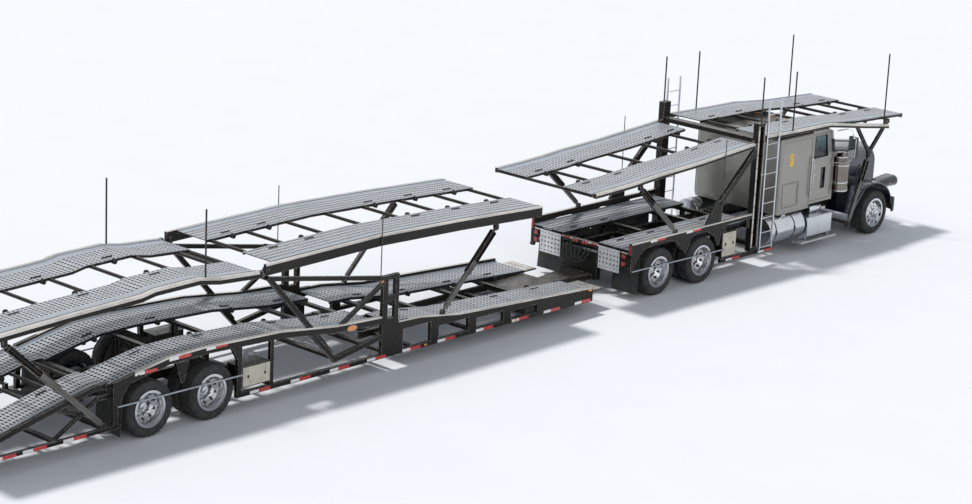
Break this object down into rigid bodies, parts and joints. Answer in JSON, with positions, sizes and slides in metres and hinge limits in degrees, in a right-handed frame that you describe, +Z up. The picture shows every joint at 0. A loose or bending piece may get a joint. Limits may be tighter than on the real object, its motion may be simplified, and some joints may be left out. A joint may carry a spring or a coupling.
{
  "type": "car transporter truck",
  "caption": "Unladen articulated car transporter: sleeper tractor with decks over and behind the cab, drop frame trailer with two upper decks and a tilting rear ramp.",
  "frame": {"origin": "on the ground at the middle of the bounding box in plan", "axes": "+X forward along the truck, +Y to its left, +Z up"},
  "size_m": [24.4, 2.98, 3.87],
  "materials": {
    "tyre": "worn, dusty",
    "dual_rim": "bright deep dish wheel",
    "steer_rim": "polished",
    "axle_steel": "painted black, dusty",
    "frame_black": "semi gloss, worn edges",
    "engine": "rough",
    "galvanised": "galvanised, dull",
    "ladder_alloy": "brushed",
    "tank_alloy": "polished",
    "cab_paint": "metallic pewter",
    "glass": "clear",
    "interior": "dark grey",
    "chrome": "polished",
    "mirror_black": "satin black",
    "hood_paint": "gloss, dark blue black",
    "barrel_steel": "worn grey steel",
    "rod_chrome": "polished rod"
  },
  "bodies": {
    "tractor": {"tractor_chassis": "frame_black", "engine": "engine", "tractor_rack": "frame_black", "tractor_lower_tracks": "galvanised", "side_ladders": "ladder_alloy", "tanks_and_steps": "tank_alloy", "sleeper_shell": "cab_paint", "cab_shell": "cab_paint", "windshield": "glass", "cab_interior": "interior", "air_cleaners": "chrome", "mirrors": "mirror_black", "front_bumper": "chrome", "tractor_axles": "axle_steel"},
    "hood": {"hood": "hood_paint"},
    "trailer": {"trailer_frame": "frame_black", "trailer_lower_tracks": "galvanised", "trailer_axles": "axle_steel"},
    "tractor_deck": {"tractor_deck": "frame_black"},
    "headrack": {"headrack": "frame_black"},
    "trailer_front_deck": {"trailer_front_deck": "frame_black"},
    "trailer_rear_deck": {"trailer_rear_deck": "frame_black"},
    "rear_ramp": {"rear_ramp": "frame_black"},
    "door_left": {"door_left": "cab_paint"},
    "luggage_door_left": {"luggage_door_left": "cab_paint"},
    "steering_knuckle_left": {"steering_knuckle_left": "axle_steel"},
    "steer_wheel_left": {"steer_tyre_left": "tyre", "steer_rim_left": "steer_rim"},
    "front_drive_wheels_left": {"front_drive_tyres_left": "tyre", "front_drive_rims_left": "dual_rim"},
    "rear_drive_wheels_left": {"rear_drive_tyres_left": "tyre", "rear_drive_rims_left": "dual_rim"},
    "front_trailer_wheels_left": {"front_trailer_tyres_left": "tyre", "front_trailer_rims_left": "dual_rim"},
    "rear_trailer_wheels_left": {"rear_trailer_tyres_left": "tyre", "rear_trailer_rims_left": "dual_rim"},
    "door_right": {"door_right": "cab_paint"},
    "luggage_door_right": {"luggage_door_right": "cab_paint"},
    "steering_knuckle_right": {"steering_knuckle_right": "axle_steel"},
    "steer_wheel_right": {"steer_tyre_right": "tyre", "steer_rim_right": "steer_rim"},
    "front_drive_wheels_right": {"front_drive_tyres_right": "tyre", "front_drive_rims_right": "dual_rim"},
    "rear_drive_wheels_right": {"rear_drive_tyres_right": "tyre", "rear_drive_rims_right": "dual_rim"},
    "front_trailer_wheels_right": {"front_trailer_tyres_right": "tyre", "front_trailer_rims_right": "dual_rim"},
    "rear_trailer_wheels_right": {"rear_trailer_tyres_right": "tyre", "rear_trailer_rims_right": "dual_rim"},
    "tractor_deck_barrels": {"tractor_deck_barrels": "barrel_steel"},
    "tractor_deck_rods": {"tractor_deck_rods": "frame_black"},
    "headrack_barrels": {"headrack_barrels": "barrel_steel"},
    "headrack_rods": {"headrack_rods": "frame_black"},
    "front_deck_barrels": {"front_deck_barrels": "barrel_steel"},
    "front_deck_rods": {"front_deck_rods": "frame_black"},
    "rear_deck_barrels": {"rear_deck_barrels": "barrel_steel"},
    "rear_deck_rods": {"rear_deck_rods": "frame_black"},
    "ramp_barrels": {"ramp_barrels": "barrel_steel"},
    "ramp_rods": {"ramp_rods": "rod_chrome"}
  },
  "joints": [
    {"name": "hood_hinge", "type": "hinge", "parent": "tractor", "child": "hood", "pos_m": [11.95, 0, 0.7], "axis": [0, 1, 0], "range_deg": [0, 10]},
    {"name": "door_left_hinge", "type": "hinge", "parent": "tractor", "child": "door_left", "pos_m": [9.788, 1.069, 1.7], "axis": [0, 0, -1], "range_deg": [0, 70]},
    {"name": "door_right_hinge", "type": "hinge", "parent": "tractor", "child": "door_right", "pos_m": [9.788, -1.069, 1.7], "axis": [0, 0, 1], "range_deg": [0, 70]},
    {"name": "luggage_door_left_hinge", "type": "hinge", "parent": "tractor", "child": "luggage_door_left", "pos_m": [8.642, 1.089, 1.27], "axis": [0, 0, -1], "range_deg": [0, 100]},
    {"name": "luggage_door_right_hinge", "type": "hinge", "parent": "tractor", "child": "luggage_door_right", "pos_m": [8.642, -1.089, 1.27], "axis": [0, 0, 1], "range_deg": [0, 100]},
    {"name": "steer_left", "type": "hinge", "parent": "tractor", "child": "steering_knuckle_left", "pos_m": [11.3, 0.9, 0.46], "axis": [0, 0, 1], "range_deg": [-32, 32]},
    {"name": "steer_wheel_left_spin", "type": "hinge", "parent": "steering_knuckle_left", "child": "steer_wheel_left", "pos_m": [11.3, 1.06, 0.46], "axis": [0, 1, 0], "continuous": true},
    {"name": "front_drive_left_spin", "type": "hinge", "parent": "tractor", "child": "front_drive_wheels_left", "pos_m": [5.4, 0.955, 0.46], "axis": [0, 1, 0], "continuous": true},
    {"name": "rear_drive_left_spin", "type": "hinge", "parent": "tractor", "child": "rear_drive_wheels_left", "pos_m": [4.1, 0.955, 0.46], "axis": [0, 1, 0], "continuous": true},
    {"name": "front_trailer_left_spin", "type": "hinge", "parent": "trailer", "child": "front_trailer_wheels_left", "pos_m": [-7.04, 0.955, 0.46], "axis": [0, 1, 0], "continuous": true},
    {"name": "rear_trailer_left_spin", "type": "hinge", "parent": "trailer", "child": "rear_trailer_wheels_left", "pos_m": [-8.3, 0.955, 0.46], "axis": [0, 1, 0], "continuous": true},
    {"name": "steer_right", "type": "hinge", "parent": "tractor", "child": "steering_knuckle_right", "pos_m": [11.3, -0.9, 0.46], "axis": [0, 0, 1], "range_deg": [-32, 32]},
    {"name": "steer_wheel_right_spin", "type": "hinge", "parent": "steering_knuckle_right", "child": "steer_wheel_right", "pos_m": [11.3, -1.06, 0.46], "axis": [0, 1, 0], "continuous": true},
    {"name": "front_drive_right_spin", "type": "hinge", "parent": "tractor", "child": "front_drive_wheels_right", "pos_m": [5.4, -0.955, 0.46], "axis": [0, 1, 0], "continuous": true},
    {"name": "rear_drive_right_spin", "type": "hinge", "parent": "tractor", "child": "rear_drive_wheels_right", "pos_m": [4.1, -0.955, 0.46], "axis": [0, 1, 0], "continuous": true},
    {"name": "front_trailer_right_spin", "type": "hinge", "parent": "trailer", "child": "front_trailer_wheels_right", "pos_m": [-7.04, -0.955, 0.46], "axis": [0, 1, 0], "continuous": true},
    {"name": "rear_trailer_right_spin", "type": "hinge", "parent": "trailer", "child": "rear_trailer_wheels_right", "pos_m": [-8.3, -0.955, 0.46], "axis": [0, 1, 0], "continuous": true},
    {"name": "coupling_pivot", "type": "hinge", "parent": "tractor", "child": "trailer", "pos_m": [1.75, 0, 0.36], "axis": [0, 0, 1], "range_deg": [-45, 45]},
    {"name": "tractor_deck_hinge", "type": "hinge", "parent": "tractor", "child": "tractor_deck", "pos_m": [6.88, 0, 2.54], "axis": [0, 1, 0], "range_deg": [-5, 3]},
    {"name": "tractor_deck_cylinder_swing", "type": "hinge", "parent": "tractor", "child": "tractor_deck_barrels", "pos_m": [4.55, 0, 1.19], "axis": [0, 1, 0], "range_deg": [-8.78, 5.51]},
    {"name": "tractor_deck_cylinder_slide", "type": "slide", "parent": "tractor_deck_barrels", "child": "tractor_deck_rods", "axis": [-0.7469, 0, 0.6649], "range_m": [-0.2287, 0.1388]},
    {"name": "headrack_hinge", "type": "hinge", "parent": "tractor", "child": "headrack", "pos_m": [7.19, 0, 2.6], "axis": [0, -1, 0], "range_deg": [0, 8]},
    {"name": "headrack_cylinder_swing", "type": "hinge", "parent": "tractor", "child": "headrack_barrels", "pos_m": [10.3, 0, 0.42], "axis": [0, 1, 0], "range_deg": [-3.9, 0.6]},
    {"name": "headrack_cylinder_slide", "type": "slide", "parent": "headrack_barrels", "child": "headrack_rods", "axis": [0.3702, 0, 0.929], "range_m": [-0.004, 0.5163]},
    {"name": "trailer_front_deck_hinge", "type": "hinge", "parent": "trailer", "child": "trailer_front_deck", "pos_m": [-5.9, 0, 2.28], "axis": [0, -1, 0], "range_deg": [-4, 2]},
    {"name": "front_deck_cylinder_swing", "type": "hinge", "parent": "trailer", "child": "front_deck_barrels", "pos_m": [-1.79, 0, 0.796], "axis": [0, 1, 0], "range_deg": [-4.89, 9.17]},
    {"name": "front_deck_cylinder_slide", "type": "slide", "parent": "front_deck_barrels", "child": "front_deck_rods", "axis": [0.7005, 0, 0.7137], "range_m": [-0.281, 0.1425]},
    {"name": "trailer_rear_deck_hinge", "type": "hinge", "parent": "trailer", "child": "trailer_rear_deck", "pos_m": [-6.02, 0, 2.215], "axis": [0, 1, 0], "range_deg": [-4, 3]},
    {"name": "rear_deck_cylinder_swing", "type": "hinge", "parent": "trailer", "child": "rear_deck_barrels", "pos_m": [-9.22, 0, 0.4], "axis": [0, 1, 0], "range_deg": [-6.6, 5.1]},
    {"name": "rear_deck_cylinder_slide", "type": "slide", "parent": "rear_deck_barrels", "child": "rear_deck_rods", "axis": [-0.7409, 0, 0.6717], "range_m": [-0.2488, 0.1876]},
    {"name": "rear_ramp_hinge", "type": "hinge", "parent": "trailer", "child": "rear_ramp", "pos_m": [-9.1, 0, 0.985], "axis": [0, 1, 0], "range_deg": [-2, 12]},
    {"name": "ramp_cylinder_swing", "type": "hinge", "parent": "trailer", "child": "ramp_barrels", "pos_m": [-9.15, 0, 0.404], "axis": [0, 1, 0], "range_deg": [-2.3, 10.81]},
    {"name": "ramp_cylinder_slide", "type": "slide", "parent": "ramp_barrels", "child": "ramp_rods", "axis": [-0.9603, 0, 0.279], "range_m": [-0.0236, 0.1215]}
  ],
  "couplings": [
    {"joint": "steer_right", "follows": "steer_left", "ratio": 1},
    {"joint": "tractor_deck_cylinder_swing", "follows": "tractor_deck_hinge", "ratio": 1.6364},
    {"joint": "tractor_deck_cylinder_slide", "follows": "tractor_deck_hinge", "m_per_rad": 2.5754},
    {"joint": "headrack_cylinder_swing", "follows": "headrack_hinge", "ratio": -0.4125},
    {"joint": "headrack_cylinder_slide", "follows": "headrack_hinge", "m_per_rad": 3.669},
    {"joint": "front_deck_cylinder_swing", "follows": "trailer_front_deck_hinge", "ratio": -2.1433},
    {"joint": "front_deck_cylinder_slide", "follows": "trailer_front_deck_hinge", "m_per_rad": 3.9678},
    {"joint": "rear_deck_cylinder_swing", "follows": "trailer_rear_deck_hinge", "ratio": 1.5},
    {"joint": "rear_deck_cylinder_slide", "follows": "trailer_rear_deck_hinge", "m_per_rad": 3.5065},
    {"joint": "ramp_cylinder_swing", "follows": "rear_ramp_hinge", "ratio": 0.8507},
    {"joint": "ramp_cylinder_slide", "follows": "rear_ramp_hinge", "m_per_rad": 0.5608}
  ]
}
